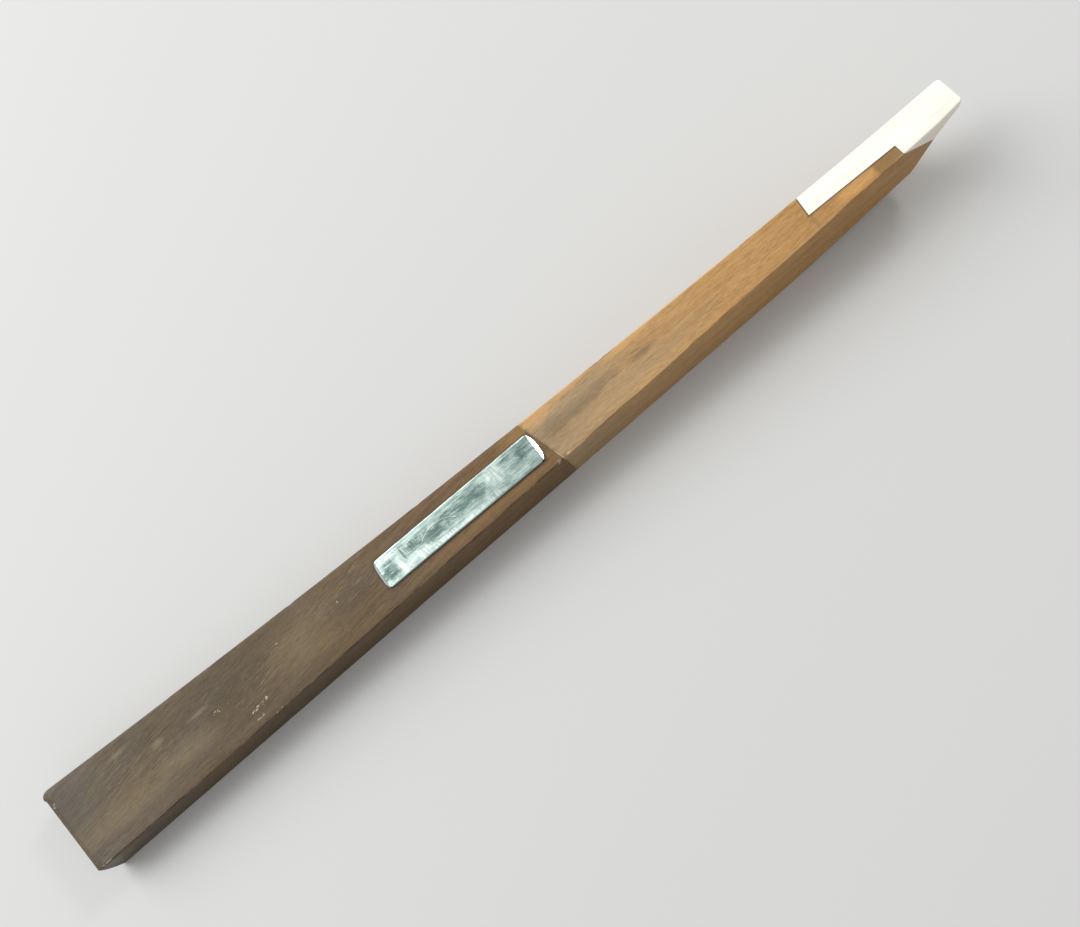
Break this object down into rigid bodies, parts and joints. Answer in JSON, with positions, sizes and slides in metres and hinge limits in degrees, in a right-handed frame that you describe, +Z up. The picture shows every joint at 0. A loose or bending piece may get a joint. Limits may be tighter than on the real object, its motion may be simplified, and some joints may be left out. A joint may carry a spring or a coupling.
{
  "type": "leather edge slicker",
  "caption": "Slim tapered hand tool of two woods with an inlaid metal plate and a bone tip, for rubbing and burnishing leather edges.",
  "frame": {"origin": "middle of the footprint, on the surface that the tool rests on", "axes": "+X along the length towards the bone tip, +Y towards the hollow curved edge, +Z up out of the face with the plate"},
  "size_m": [0.1909, 0.0176, 0.0137],
  "materials": {
    "dark_wood": "dark hardwood, hand-worn satin",
    "light_wood": "golden brown hardwood, hand-worn satin",
    "white_metal": "scratched along its length, worn dull in patches",
    "pitch": "dark hard filler",
    "bone": "polished bone",
    "dowel_wood": "plain turned beech"
  },
  "bodies": {
    "root": {"handle": "dark_wood", "fore_stock": "light_wood", "inlay_plate": "white_metal", "plate_bedding": "pitch", "bone_tip": "bone", "joint_dowel": "dowel_wood"}
  },
  "joints": []
}
